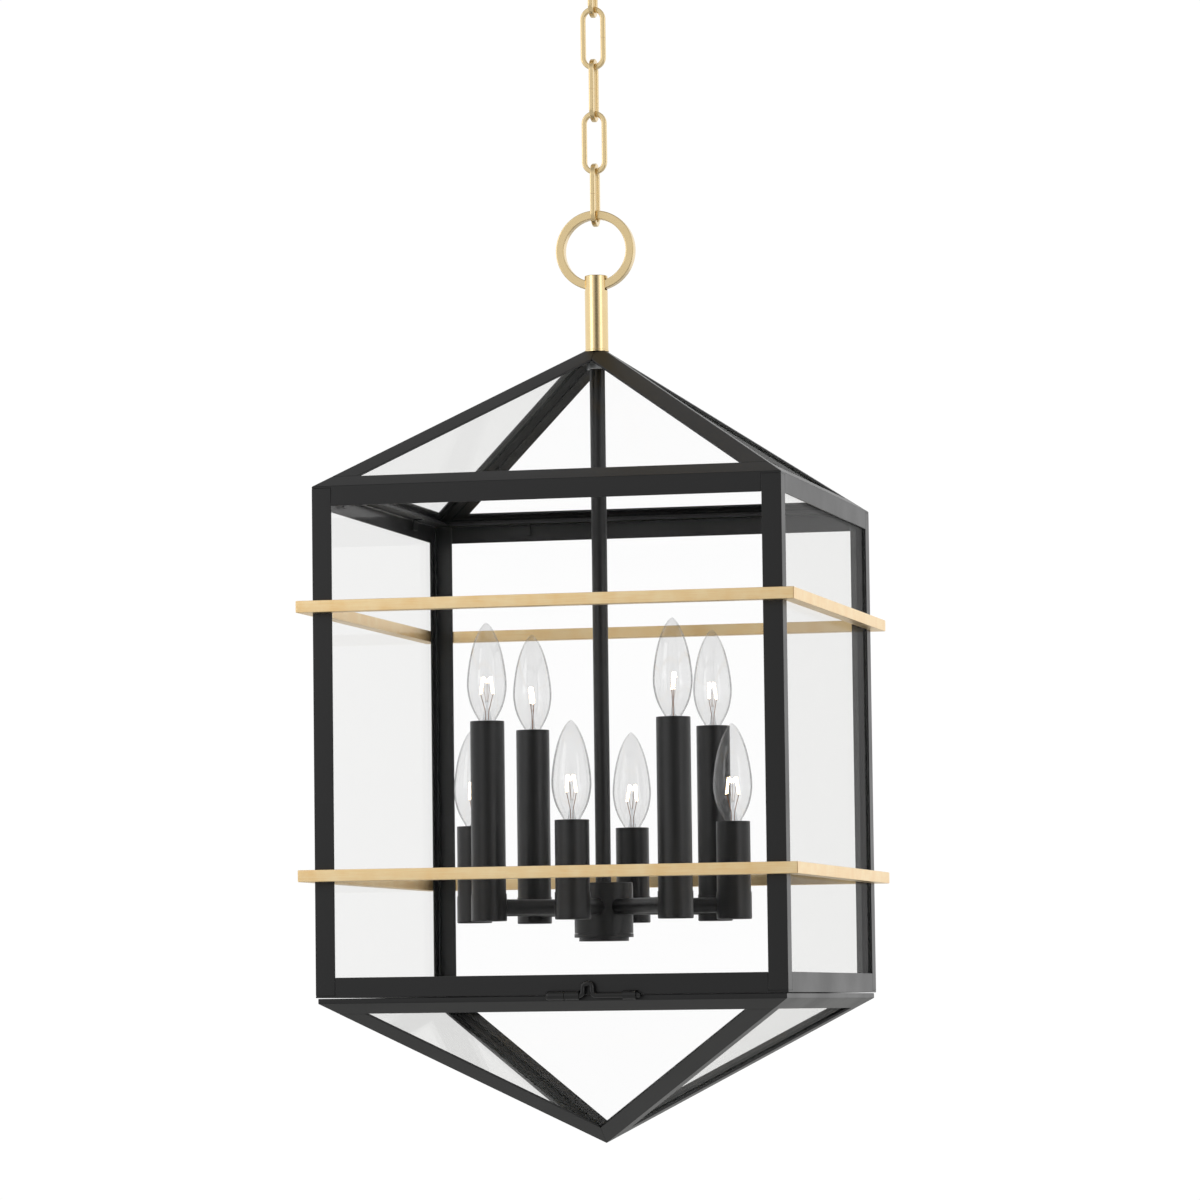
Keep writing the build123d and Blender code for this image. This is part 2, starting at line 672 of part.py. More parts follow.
arm_turn = 360 / light_count
arm_inner = hub_radius - 3.0
arm_outer = light_circle - cup_radius + 2.2
hub_wall = 2.4
hub_roof = 8.0
with BuildPart() as cluster_hub:
    with BuildSketch(Plane.XY.offset(hub_foot)):
        Circle(hub_radius)
    extrude(amount=hub_height)
    fillet(cluster_hub.edges().group_by(Axis.Z)[-1], radius=0.8)
    with BuildSketch(Plane.XY.offset(hub_foot)):
        Circle(hub_radius - hub_wall)
    extrude(amount=hub_height - hub_roof, mode=Mode.SUBTRACT)
    with BuildSketch(Plane.XY.offset(hub_top - stem_socket)):
        Circle(stem_radius + seat_play)
    extrude(amount=stem_socket, mode=Mode.SUBTRACT)
    with BuildSketch(Plane.XY.offset(hub_foot)):
        Circle(stem_bore)
    extrude(amount=hub_height, mode=Mode.SUBTRACT)
    with PolarLocations(hub_radius, light_count):
        with Locations((0, 0, arm_z)):
            Cylinder(radius=arm_radius + seat_play, height=12, rotation=(0, 90, 0), mode=Mode.SUBTRACT)
keep(cluster_hub.part, "cluster_hub")

cap_gap = 0.4
cap_plate = 2.9
cap_step = 3.1
cap_step_radius = 20.4
cap_collar = 5.0
with BuildPart() as hub_cap:
    with BuildSketch(Plane.XY.offset(hub_foot - cap_gap - cap_plate)):
        Circle(hub_radius + 0.2)
    extrude(amount=cap_plate)
    with BuildSketch(Plane.XY.offset(hub_foot - cap_gap - cap_plate - cap_step)):
        Circle(cap_step_radius)
    extrude(amount=cap_step)
    with BuildSketch(Plane.XY.offset(hub_foot - cap_gap)):
        Circle(hub_radius - hub_wall - hole_play)
        Circle(hub_radius - hub_wall - 2, mode=Mode.SUBTRACT)
    extrude(amount=cap_collar)
keep(hub_cap.part, "hub_cap")

arm_length = arm_outer - arm_inner
with BuildPart() as cluster_arms:
    with PolarLocations((arm_inner + arm_outer) / 2, light_count):
        with Locations((0, 0, arm_z)):
            Cylinder(radius=arm_radius, height=arm_length, rotation=(0, 90, 0))
            Cylinder(radius=arm_bore, height=arm_length, rotation=(0, 90, 0), mode=Mode.SUBTRACT)
keep(cluster_arms.part, "cluster_arms")

cup_floor = 2.0
with BuildPart() as candle_cups:
    with BuildSketch(Plane.XY.offset(cup_foot)):
        with PolarLocations(light_circle, light_count):
            Circle(cup_radius)
    extrude(amount=cup_height)
    fillet(candle_cups.edges().group_by(Axis.Z)[0], radius=1.0)
    with BuildSketch(Plane.XY.offset(cup_foot + cup_floor)):
        with PolarLocations(light_circle, light_count):
            Circle(cup_radius - cup_wall)
    extrude(amount=cup_height, mode=Mode.SUBTRACT)
    with BuildSketch(Plane.XY.offset(cup_top - sleeve_seat)):
        with PolarLocations(light_circle, light_count):
            Circle(sleeve_radius + seat_play)
    extrude(amount=cup_height, mode=Mode.SUBTRACT)
    with PolarLocations(light_circle - cup_radius, light_count):
        with Locations((0, 0, arm_z)):
            Cylinder(radius=arm_radius + seat_play, height=14, rotation=(0, 90, 0), mode=Mode.SUBTRACT)
keep(candle_cups.part, "candle_cups")

# Tall candles stand on the diagonals and short ones on the axes.
candles = ((tall_sleeve, 45), (short_sleeve, 0))
sleeve_foot = cup_top - sleeve_seat + seat_play
for (height, start), name in zip(candles, ("tall_sleeves", "short_sleeves")):
    with BuildPart() as sleeves:
        with BuildSketch(Plane.XY.offset(sleeve_foot)):
            with PolarLocations(light_circle, 4, start_angle=start):
                Circle(sleeve_radius)
                Circle(sleeve_bore, mode=Mode.SUBTRACT)
        extrude(amount=cup_top + height - sleeve_foot)
    keep(sleeves.part, name)

socket_drop = 3.0  # top of a socket below the rim of its sleeve
shell_height = 17.0
shell_bore = 6.2
shell_radius = 6.9
shell_floor = 2.0
riser_radius = 4.0
riser_wall = 1.2
with BuildPart() as socket_bodies:
    for height, start in candles:
        with BuildSketch(Plane.XY.offset(cup_top + height - socket_drop - socket_height)):
            with PolarLocations(light_circle, 4, start_angle=start):
                Circle(socket_radius)
        extrude(amount=socket_height)
        with BuildSketch(Plane.XY.offset(cup_top + height - socket_drop - shell_height - shell_floor)):
            with PolarLocations(light_circle, 4, start_angle=start):
                Circle(shell_radius + seat_play)
        extrude(amount=shell_height + shell_floor, mode=Mode.SUBTRACT)
keep(socket_bodies.part, "socket_bodies")

with BuildPart() as socket_shells:
    for height, start in candles:
        with BuildSketch(Plane.XY.offset(cup_top + height - socket_drop - shell_height)):
            with PolarLocations(light_circle, 4, start_angle=start):
                Circle(shell_radius)
                Circle(shell_bore, mode=Mode.SUBTRACT)
        extrude(amount=shell_height)
keep(socket_shells.part, "socket_shells")

riser_foot = cup_foot + cup_floor
with BuildPart() as socket_risers:
    for height, start in candles:
        riser_height = cup_top + height - socket_drop - socket_height - riser_foot
        with BuildSketch(Plane.XY.offset(riser_foot)):
            with PolarLocations(light_circle, 4, start_angle=start):
                Circle(riser_radius)
                Circle(riser_radius - riser_wall, mode=Mode.SUBTRACT)
        extrude(amount=riser_height)
keep(socket_risers.part, "socket_risers")

base_radius = 5.9
base_height = 15.0
contact_radius = 2.5
neck_radius = 6.6
neck_drop = 1.9  # foot of the glass below the rim of the sleeve
with BuildPart() as bulb_bases:
    for height, start in candles:
        rim = cup_top + height
        with BuildSketch(Plane.XY.offset(rim - socket_drop - base_height + 1)):
            with PolarLocations(light_circle, 4, start_angle=start):
                Circle(base_radius)
        extrude(amount=base_height)
        with BuildSketch(Plane.XY.offset(rim - socket_drop - base_height - 1)):
            with PolarLocations(light_circle, 4, start_angle=start):
                Circle(contact_radius)
        extrude(amount=2)
keep(bulb_bases.part, "bulb_bases")


def bulb_outline(inset):
    """Half outline of the bulb's glass, from its neck to its tip, shrunk by inset."""
    neck = (neck_radius - inset, -neck_drop)
    shoulder = (bulb_radius - inset, 0.36 * bulb_length)
    upper = (0.62 * bulb_radius - inset, 0.77 * bulb_length)
    top = (0, bulb_length - inset)
    return neck, shoulder, upper, top


with BuildPart() as one_bulb:
    for inset, mode in ((0, Mode.ADD), (bulb_wall, Mode.SUBTRACT)):
        neck, shoulder, upper, top = bulb_outline(inset)
        with BuildSketch(Plane.XZ):
            with BuildLine():
                Spline(neck, shoulder, upper, top, tangents=[(0.35, 1), (-1, 0)])
                Polyline(top, (0, neck[1]), neck)
            make_face()
        revolve(axis=Axis.Z, mode=mode)

with BuildPart() as bulb_envelopes:
    for height, start in candles:
        with PolarLocations(light_circle, 4, start_angle=start):
            with Locations((0, 0, cup_top + height)):
                add(one_bulb.part)
keep(bulb_envelopes.part, "bulb_envelopes")

support_radius = 2.6
support_height = 14.0
filament_height = 34.0
filament_wire = 1.4
filament_spread = 7.0
with BuildPart() as one_filament:
    with BuildSketch(Plane.XY.offset(-neck_drop + hole_play)):
        Circle(support_radius)
    extrude(amount=support_height)
    with BuildSketch(Plane.XY.offset(support_height - socket_drop)):
        Circle(filament_wire / 2)
        with GridLocations(filament_spread, 0, 2, 1):
            Circle(filament_wire / 2)
    extrude(amount=filament_height - support_height)
    for bar_height in (support_height, filament_height):
        with Locations((0, 0, bar_height - socket_drop)):
            Box(filament_spread + filament_wire, filament_wire, filament_wire)

with BuildPart() as bulb_filaments:
    for height, start in candles:
        with PolarLocations(light_circle, 4, start_angle=start):
            with Locations((0, 0, cup_top + height)):
                add(one_filament.part)
keep(bulb_filaments.part, "bulb_filaments")

print("eave", round(eave, 2), "sill", round(sill, 2), "door point", round(door_point, 2))
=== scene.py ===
import json
import math

import bpy
from mathutils import Matrix, Vector

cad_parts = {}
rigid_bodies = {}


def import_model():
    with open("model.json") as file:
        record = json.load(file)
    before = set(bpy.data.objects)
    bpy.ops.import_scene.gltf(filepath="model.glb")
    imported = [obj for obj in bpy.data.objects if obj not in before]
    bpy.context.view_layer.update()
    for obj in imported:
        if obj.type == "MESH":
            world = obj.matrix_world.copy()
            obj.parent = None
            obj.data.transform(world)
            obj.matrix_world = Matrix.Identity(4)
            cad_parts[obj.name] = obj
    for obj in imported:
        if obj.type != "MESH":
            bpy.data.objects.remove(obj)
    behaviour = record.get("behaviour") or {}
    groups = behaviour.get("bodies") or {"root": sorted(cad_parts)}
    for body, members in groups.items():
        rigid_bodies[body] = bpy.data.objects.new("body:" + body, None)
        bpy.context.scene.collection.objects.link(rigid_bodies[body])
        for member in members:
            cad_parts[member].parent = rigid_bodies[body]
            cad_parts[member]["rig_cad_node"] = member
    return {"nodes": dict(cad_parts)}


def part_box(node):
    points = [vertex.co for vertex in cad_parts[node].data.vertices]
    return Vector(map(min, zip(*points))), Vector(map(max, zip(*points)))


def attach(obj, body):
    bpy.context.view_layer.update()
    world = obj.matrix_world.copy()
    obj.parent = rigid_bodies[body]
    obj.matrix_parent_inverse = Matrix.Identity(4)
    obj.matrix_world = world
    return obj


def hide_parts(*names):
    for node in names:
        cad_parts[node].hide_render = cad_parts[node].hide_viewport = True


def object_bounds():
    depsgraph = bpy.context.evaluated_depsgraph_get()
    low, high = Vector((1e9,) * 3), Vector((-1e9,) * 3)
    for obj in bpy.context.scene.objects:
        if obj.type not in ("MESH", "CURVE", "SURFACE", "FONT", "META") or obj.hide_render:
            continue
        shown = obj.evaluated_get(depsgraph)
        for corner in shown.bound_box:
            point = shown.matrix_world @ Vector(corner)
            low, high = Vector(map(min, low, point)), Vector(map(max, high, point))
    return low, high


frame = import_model()
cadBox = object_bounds()
print("frame loaded,", len(frame["nodes"]), "CAD nodes")

nodes = frame["nodes"]
scene = bpy.context.scene


def linearColour(hexColour):
    # sRGB hex to the linear values a shader socket takes
    channels = [int(hexColour[i:i + 2], 16) / 255 for i in (1, 3, 5)]
    return [c / 12.92 if c <= 0.04045 else ((c + 0.055) / 1.055) ** 2.4 for c in channels] + [1.0]


def addNode(tree, kind, sockets=None, **settings):
    # adds a node with its settings, then fills or links its sockets
    node = tree.nodes.new(kind)
    for name, value in settings.items():
        setattr(node, name, value)
    for name, value in (sockets or {}).items():
        if isinstance(value, bpy.types.NodeSocket):
            tree.links.new(value, node.inputs[name])
        else:
            node.inputs[name].default_value = value
    return node


def newMaterial(name):
    # an empty node tree and the Object coordinates that its patterns read
    material = bpy.data.materials.new(name)
    material.use_nodes = True
    material.node_tree.nodes.clear()
    place = addNode(material.node_tree, "ShaderNodeTexCoord").outputs["Object"]
    return material, material.node_tree, place


def mixedColour(tree, share, low, high):
    # a colour between two hex colours, by the share of the second
    mix = addNode(tree, "ShaderNodeMix", {
        0: share, 6: linearColour(low), 7: linearColour(high)}, data_type="RGBA")
    return mix.outputs[2]


def deselectAll():
    if bpy.context.object and bpy.context.object.mode != "OBJECT":
        bpy.ops.object.mode_set(mode="OBJECT")
    bpy.ops.object.select_all(action="DESELECT")


def pick(piece):
    deselectAll()
    piece.select_set(True)
    bpy.context.view_layer.objects.active = piece


def paint(piece, *materials):
    piece.data.materials.clear()
    for material in materials:
        piece.data.materials.append(material)


def addModifier(piece, kind, **settings):
    # a modifier is set and applied straight away
    pick(piece)
    modifier = piece.modifiers.new(kind.title(), kind)
    for name, value in settings.items():
        setattr(modifier, name, value)
    bpy.ops.object.modifier_apply(modifier=modifier.name)


def smoothed(piece, degrees):
    pick(piece)
    bpy.ops.object.shade_smooth_by_angle(angle=math.radians(degrees))


def mounted(piece, body, slot, *replaced):
    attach(piece, body)
    if replaced:
        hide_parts(*replaced)


powderCoatLook = {
    "deep": "#030304",
    "pale": "#080809",
    "ior": 1.5,
    "roughness": (0.33, 0.4),
    "peel": 0.0016,  # metres between the bumps of the orange peel, twice the real size so that it shows
    "peelDepth": 0.00001,
    "peelStrength": 0.3,
    "cloud": 0.06,  # metres between thicker and thinner sprayed patches
}


def makePowderCoat(name, look):
    # polyester powder coat, sprayed and baked: near black, satin, with a faint orange peel
    material, tree, place = newMaterial(name)
    peel = addNode(tree, "ShaderNodeTexNoise", {"Vector": place, "Scale": 1 / look["peel"], "Detail": 2.0})
    cloud = addNode(tree, "ShaderNodeTexNoise", {
        "Vector": place, "Scale": 1 / look["cloud"], "Detail": 3.0})
    tint = mixedColour(tree, cloud.outputs["Fac"], look["deep"], look["pale"])
    rough = addNode(tree, "ShaderNodeMapRange", {
        "Value": cloud.outputs["Fac"], "From Min": 0.3, "From Max": 0.7,
        "To Min": look["roughness"][0], "To Max": look["roughness"][1]})
    bump = addNode(tree, "ShaderNodeBump", {
        "Height": peel.outputs["Fac"], "Strength": look["peelStrength"], "Distance": look["peelDepth"]})
    skin = addNode(tree, "ShaderNodeBsdfPrincipled", {
        "Base Color": tint, "Roughness": rough.outputs[0], "IOR": look["ior"], "Normal": bump.outputs[0]})
    addNode(tree, "ShaderNodeOutputMaterial", {"Surface": skin.outputs[0]})
    return material


bandBrassLook = {
    "base": "#ffe6b6",
    "worn": "#f8d49a",
    "roughness": (0.28, 0.38),
    "alongGrain": 0.022,  # length of a brush stroke
    "acrossGrain": 0.0007,  # brush lines, about twice as coarse as real so that they show
    "slant": 7.0,  # degrees, the brushing crosses the bar at a slight angle
    "mottle": 0.014,
    "depth": 0.00001,
    "bumpStrength": 0.5,
}


def makeBandBrass(name, look):
    # solid brass bar, brushed by hand along its length and lacquered: warm, with slanting strokes
    material, tree, place = newMaterial(name)
    parts = addNode(tree, "ShaderNodeSeparateXYZ", {0: place})
    sizeX = addNode(tree, "ShaderNodeMath", {0: parts.outputs["X"]}, operation="ABSOLUTE")
    sizeY = addNode(tree, "ShaderNodeMath", {0: parts.outputs["Y"]}, operation="ABSOLUTE")
    sideBar = addNode(tree, "ShaderNodeMath", {
        0: sizeX.outputs[0], 1: sizeY.outputs[0]}, operation="GREATER_THAN")
    fine, long, slant = 1 / look["acrossGrain"], 1 / look["alongGrain"], math.radians(look["slant"])
    frontGrain = addNode(tree, "ShaderNodeMapping", {
        "Vector": place, "Rotation": (0, slant, slant), "Scale": (long, fine, fine)})
    sideGrain = addNode(tree, "ShaderNodeMapping", {
        "Vector": place, "Rotation": (slant, 0, slant), "Scale": (fine, long, fine)})
    grain = addNode(tree, "ShaderNodeMix", {
        0: sideBar.outputs[0], 4: frontGrain.outputs[0], 5: sideGrain.outputs[0]}, data_type="VECTOR")
    strokes = addNode(tree, "ShaderNodeTexNoise", {
        "Vector": grain.outputs[1], "Scale": 1.0, "Detail": 4.0, "Roughness": 0.6})
    mottle = addNode(tree, "ShaderNodeTexNoise", {
        "Vector": place, "Scale": 1 / look["mottle"], "Detail": 4.0})
    mixed = addNode(tree, "ShaderNodeMath", {
        0: strokes.outputs["Fac"], 1: mottle.outputs["Fac"]}, operation="ADD")
    share = addNode(tree, "ShaderNodeMapRange", {
        "Value": mixed.outputs[0], "From Min": 0.75, "From Max": 1.25, "To Min": 0.0, "To Max": 1.0})
    tint = mixedColour(tree, share.outputs[0], look["worn"], look["base"])
    rough = addNode(tree, "ShaderNodeMapRange", {
        "Value": strokes.outputs["Fac"], "From Min": 0.3, "From Max": 0.7,
        "To Min": look["roughness"][0], "To Max": look["roughness"][1]})
    bump = addNode(tree, "ShaderNodeBump", {
        "Height": strokes.outputs["Fac"], "Strength": look["bumpStrength"], "Distance": look["depth"]})
    skin = addNode(tree, "ShaderNodeBsdfPrincipled", {
        "Base Color": tint, "Metallic": 1.0, "Roughness": rough.outputs[0], "Normal": bump.outputs[0]})
    addNode(tree, "ShaderNodeOutputMaterial", {"Surface": skin.outputs[0]})
    return material


satinBrassLook = {
    "base": "#f0d8a8",
    "worn": "#ead09c",
    "roughness": (0.2, 0.25),
    "grit": 0.0008,  # satin scratches of a fine abrasive pad, drawn coarse so that they show
    "stretch": 9.0,  # a mark's length over its width
    "mottle": 0.012,
    "depth": 0.0000005,
}


def makeMetal(name, look):
    # plated or bare metal with short brush marks that run round turned parts
    material, tree, place = newMaterial(name)
    fine = 1 / look["grit"]
    turned = addNode(tree, "ShaderNodeMapping", {
        "Vector": place, "Scale": (fine / look["stretch"], fine / look["stretch"], fine)})
    marks = addNode(tree, "ShaderNodeTexNoise", {
        "Vector": turned.outputs[0], "Scale": 1.0, "Detail": 3.0, "Roughness": 0.6})
    mottle = addNode(tree, "ShaderNodeTexNoise", {
        "Vector": place, "Scale": 1 / look["mottle"], "Detail": 3.0})
    tint = mixedColour(tree, mottle.outputs["Fac"], look["worn"], look["base"])
    rough = addNode(tree, "ShaderNodeMapRange", {
        "Value": marks.outputs["Fac"], "From Min": 0.3, "From Max": 0.7,
        "To Min": look["roughness"][0], "To Max": look["roughness"][1]})
    bump = addNode(tree, "ShaderNodeBump", {
        "Height": marks.outputs["Fac"], "Strength": 0.4, "Distance": look["depth"]})
    skin = addNode(tree, "ShaderNodeBsdfPrincipled", {
        "Base Color": tint, "Metallic": 1.0, "Roughness": rough.outputs[0], "Normal": bump.outputs[0]})
    addNode(tree, "ShaderNodeOutputMaterial", {"Surface": skin.outputs[0]})
    return material


def makeClearGlass(name, look):
    # clear glass: light goes straight on with a little tint that darkens at a slant as painted shade, and
    # the surface reflects more at a slant
    material, tree, place = newMaterial(name)
    slant = addNode(tree, "ShaderNodeLayerWeight", {"Blend": 0.5}).outputs["Facing"]
    steep = addNode(tree, "ShaderNodeMath", {0: slant, 1: look["power"]}, operation="POWER")
    mirror = addNode(tree, "ShaderNodeMath", {
        0: steep.outputs[0], 1: look["edgeMirror"], 2: look["faceMirror"]}, operation="MULTIPLY_ADD")
    # the tint runs from the face colour to the rim colour as the surface turns away: painted shade at the
    # outline, standing in for what refraction and reflection show there
    tint = addNode(tree, "ShaderNodeValToRGB", {"Fac": slant})
    ramp = tint.color_ramp
    ramp.elements[0].color = linearColour(look["face"])
    ramp.elements[1].color = linearColour(look["rim"])
    ramp.elements[0].position, ramp.elements[1].position = look["rimSpan"]
    ripple = addNode(tree, "ShaderNodeTexNoise", {
        "Vector": place, "Scale": 1 / look["ripple"], "Detail": 1.0})
    bump = addNode(tree, "ShaderNodeBump", {
        "Height": ripple.outputs["Fac"], "Strength": 0.3, "Distance": look["rippleDepth"]})
    through = addNode(tree, "ShaderNodeBsdfTransparent", {"Color": tint.outputs[0]})
    gloss = addNode(tree, "ShaderNodeBsdfAnisotropic", {
        "Color": (1, 1, 1, 1), "Roughness": look["roughness"], "Normal": bump.outputs[0]})
    body = addNode(tree, "ShaderNodeMixShader", {
        0: mirror.outputs[0], 1: through.outputs[0], 2: gloss.outputs[0]})
    addNode(tree, "ShaderNodeOutputMaterial", {"Surface": body.outputs[0]})
    return material


# float glass: nearly colourless square on, a touch grey at a slant by painted shade and more mirrored at a
# slant
windowGlassLook = {
    "face": "#fefefe",
    "rim": "#efefee",
    "rimSpan": (0.55, 1.0),
    "power": 5.0,
    "edgeMirror": 0.14,
    "faceMirror": 0.002,
    "roughness": 0.02,
    "ripple": 0.09,
    "rippleDepth": 0.00002,
}
# the ground edge of a pane: grey green and dull, with painted shade that darkens it at a slant
windowEdgeLook = {
    "face": "#c9d2d0",
    "rim": "#8f9a98",
    "rimSpan": (0.1, 0.9),
    "power": 3.0,
    "edgeMirror": 0.9,
    "faceMirror": 0.04,
    "roughness": 0.25,
    "ripple": 0.0015,
    "rippleDepth": 0.00002,
}
# thin blown glass: clear in the middle with a dark line of painted shade round its outline, standing in for
# refraction
bulbGlassLook = {
    "face": "#fafafa",
    "rim": "#4e5153",
    "rimSpan": (0.68, 0.96),
    "power": 4.0,
    "edgeMirror": 0.35,
    "faceMirror": 0.03,
    "roughness": 0.015,
    "ripple": 0.012,
    "rippleDepth": 0.0001,
}
# thick pressed glass: like the bulb's, with broader dark edges of painted shade
stemGlassLook = {
    "face": "#f4f5f6",
    "rim": "#8d9295",
    "rimSpan": (0.5, 0.98),
    "power": 3.0,
    "edgeMirror": 0.5,
    "faceMirror": 0.05,
    "roughness": 0.03,
    "ripple": 0.003,
    "rippleDepth": 0.0002,
}


def makePlastic(name, look):
    # moulded plastic: a fine texture from the mould and a soft sheen
    material, tree, place = newMaterial(name)
    texture = addNode(tree, "ShaderNodeTexNoise", {
        "Vector": place, "Scale": 1 / look["grain"], "Detail": 2.0})
    tint = mixedColour(tree, texture.outputs["Fac"], look["deep"], look["pale"])
    bump = addNode(tree, "ShaderNodeBump", {
        "Height": texture.outputs["Fac"], "Strength": 0.3, "Distance": look["depth"]})
    skin = addNode(tree, "ShaderNodeBsdfPrincipled", {
        "Base Color": tint, "Roughness": look["roughness"], "IOR": 1.5, "Normal": bump.outputs[0]})
    addNode(tree, "ShaderNodeOutputMaterial", {"Surface": skin.outputs[0]})
    return material


def makeGlowingWire(name, look):
    # coiled tungsten at about 2700 K, in whiter and yellower patches along the coil
    material, tree, place = newMaterial(name)
    patch = addNode(tree, "ShaderNodeTexNoise", {
        "Vector": place, "Scale": 1 / look["patch"], "Detail": 1.0})
    tint = mixedColour(tree, patch.outputs["Fac"], look["cool"], look["hot"])
    # the glow is for the eye only, the studio lights the lantern
    rays = addNode(tree, "ShaderNodeLightPath")
    strength = addNode(tree, "ShaderNodeMath", {
        0: rays.outputs["Is Camera Ray"], 1: look["strength"]}, operation="MULTIPLY")
    glow = addNode(tree, "ShaderNodeBsdfPrincipled", {
        "Base Color": tint, "Metallic": 1.0, "Roughness": 0.4,
        "Emission Color": tint, "Emission Strength": strength.outputs[0]})
    material.cycles.emission_sampling = "NONE"
    addNode(tree, "ShaderNodeOutputMaterial", {"Surface": glow.outputs[0]})
    return material


blackPowderCoat = makePowderCoat("blackPowderCoatSatin", powderCoatLook)
bandBrass = makeBandBrass("brushedLacqueredBrass", bandBrassLook)
satinBrass = makeMetal("satinPlatedBrass", satinBrassLook)
zincSteel = makeMetal("zincPlatedSteel", {
    "base": "#c3c6c8", "worn": "#a9adb0", "roughness": (0.3, 0.45), "grit": 0.0008, "stretch": 3.0,
    "mottle": 0.004, "depth": 0.00002})
bulbCapMetal = makeMetal("nickelPlatedBulbCap", {
    "base": "#d9cfae", "worn": "#bfae84", "roughness": (0.2, 0.32), "grit": 0.0006, "stretch": 6.0,
    "mottle": 0.003, "depth": 0.00001})
leadWire = makeMetal("copperCladLeadWire", {
    "base": "#b5805a", "worn": "#7c5a48", "roughness": (0.25, 0.4), "grit": 0.0005, "stretch": 2.0,
    "mottle": 0.002, "depth": 0.00001})
windowGlass = makeClearGlass("clearFloatGlass", windowGlassLook)
windowEdge = makeClearGlass("groundGlassEdge", windowEdgeLook)
bulbGlass = makeClearGlass("blownBulbGlass", bulbGlassLook)
stemGlass = makeClearGlass("pressedStemGlass", stemGlassLook)
socketPlastic = makePlastic("mouldedPhenolic", {
    "deep": "#15120f", "pale": "#211c18", "grain": 0.0012, "depth": 0.00003, "roughness": 0.5})
bushingPlastic = makePlastic("mouldedNylon", {
    "deep": "#141414", "pale": "#1f1f20", "grain": 0.001, "depth": 0.00003, "roughness": 0.42})
glowingWire = makeGlowingWire("coiledTungstenLit", {
    "cool": "#ffd49a", "hot": "#fff0d4", "patch": 0.004, "strength": 12.0})
print("materials made")


# the finish of each slot, and the slots of the CAD nodes that stay as they are
slotMaterials = {
    "black_powder_coat": blackPowderCoat, "brushed_brass": bandBrass, "satin_brass": satinBrass,
    "window_glass": windowGlass, "bulb_glass": bulbGlass, "base_brass": bulbCapMetal,
    "filament_wire": leadWire, "phenolic": socketPlastic, "nylon": bushingPlastic, "zinc_steel": zincSteel,
}
nodeSlots = {
    "satin_brass": ["ceiling_canopy", "canopy_loop", "hanging_ring", "swivel_post", "post_washer"]
    + [f"chain_link_{i}" for i in range(1, 6)],
    "zinc_steel": ["canopy_crossbar", "crossbar_nut", "apex_nipple", "apex_locknut", "socket_risers"],
    "nylon": ["cord_bushing"],
    "phenolic": ["socket_bodies"],
    "base_brass": ["socket_shells"],
    "black_powder_coat": ["glass_clips", "apex_plate", "stem_tube", "cluster_hub", "hub_cap",
                          "cluster_arms", "hinge_body_leaf", "hinge_door_leaf", "hinge_pin",
                          "latch_keeper", "latch_guides", "latch_bolt"],
}
for slotName, names in nodeSlots.items():
    for name in names:
        paint(nodes[name], slotMaterials[slotName])


weld = 0.000002  # metres between vertices that are merged
sharpEdge = 40  # degrees from which an edge counts as sharp


def softened(node, name, body, slot, edge, segments=2):
    # a merged copy of a CAD node with its sharp edges a little rounded, as filing and paint leave them
    pick(nodes[node])
    bpy.ops.object.duplicate()
    piece = bpy.context.object
    piece.name = name
    piece.data.name = name
    del piece["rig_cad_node"]
    piece.parent = None
    bpy.ops.object.mode_set(mode="EDIT")
    bpy.ops.mesh.select_all(action="SELECT")
    bpy.ops.mesh.customdata_custom_splitnormals_clear()
    bpy.ops.mesh.remove_doubles(threshold=weld)
    bpy.ops.mesh.dissolve_limited(angle_limit=math.radians(0.5))
    bpy.ops.object.mode_set(mode="OBJECT")
    addModifier(piece, "BEVEL", width=edge, segments=segments, limit_method="ANGLE",
                angle_limit=math.radians(sharpEdge), use_clamp_overlap=True)
    smoothed(piece, sharpEdge)
    addModifier(piece, "WEIGHTED_NORMAL", keep_sharp=True)
    paint(piece, slotMaterials[slot])
    mounted(piece, body, slot, node)
    return piece


softPieces = [
    # CAD node, piece, body, slot, edge round in metres
    ("corner_posts", "cornerPostsSteel", "lantern", "black_powder_coat", 0.0004),
    ("top_rails", "topRailsSteel", "lantern", "black_powder_coat", 0.0004),
    ("sill_rails", "sillRailsSteel", "lantern", "black_powder_coat", 0.0004),
    ("roof_eaves", "roofEavesSteel", "lantern", "black_powder_coat", 0.0004),
    ("roof_rafters", "roofRaftersSteel", "lantern", "black_powder_coat", 0.0004),
    ("door_rails", "doorRailsSteel", "door", "black_powder_coat", 0.0004),
    ("door_rafters", "doorRaftersSteel", "door", "black_powder_coat", 0.0004),
    ("upper_band", "upperBandBrass", "lantern", "brushed_brass", 0.0006),
    ("lower_band", "lowerBandBrass", "lantern", "brushed_brass", 0.0006),
    ("tall_sleeves", "tallCandleTubes", "lantern", "black_powder_coat", 0.0003),
    ("short_sleeves", "shortCandleTubes", "lantern", "black_powder_coat", 0.0003),
    ("candle_cups", "candleCupsTurned", "lantern", "black_powder_coat", 0.0003),
]
for node, name, body, slotName, edge in softPieces:
    softened(node, name, body, slotName, edge)
print("steel, bands and candle tubes softened")


paneGroups = {"glass": "lantern", "roof_glass": "lantern", "door_glass": "door"}
paneEdge = 0.00025  # metres ground off the edges of a pane
largeShare = 0.3  # part of the largest face from which a face counts as one of the two large ones
for group, body in paneGroups.items():
    for side in ("front", "right", "back", "left"):
        name = group.replace("_g", "G") + side.title() + "Pane"
        pane = softened(f"{group}_{side}", name, body, "window_glass", paneEdge, 1)
        pane.data.materials.append(windowEdge)
        # the two large faces stay clear, the ground edge all round is duller
        largest = max(face.area for face in pane.data.polygons)
        for face in pane.data.polygons:
            face.material_index = 0 if face.area > largeShare * largest else 1
print("panes made")


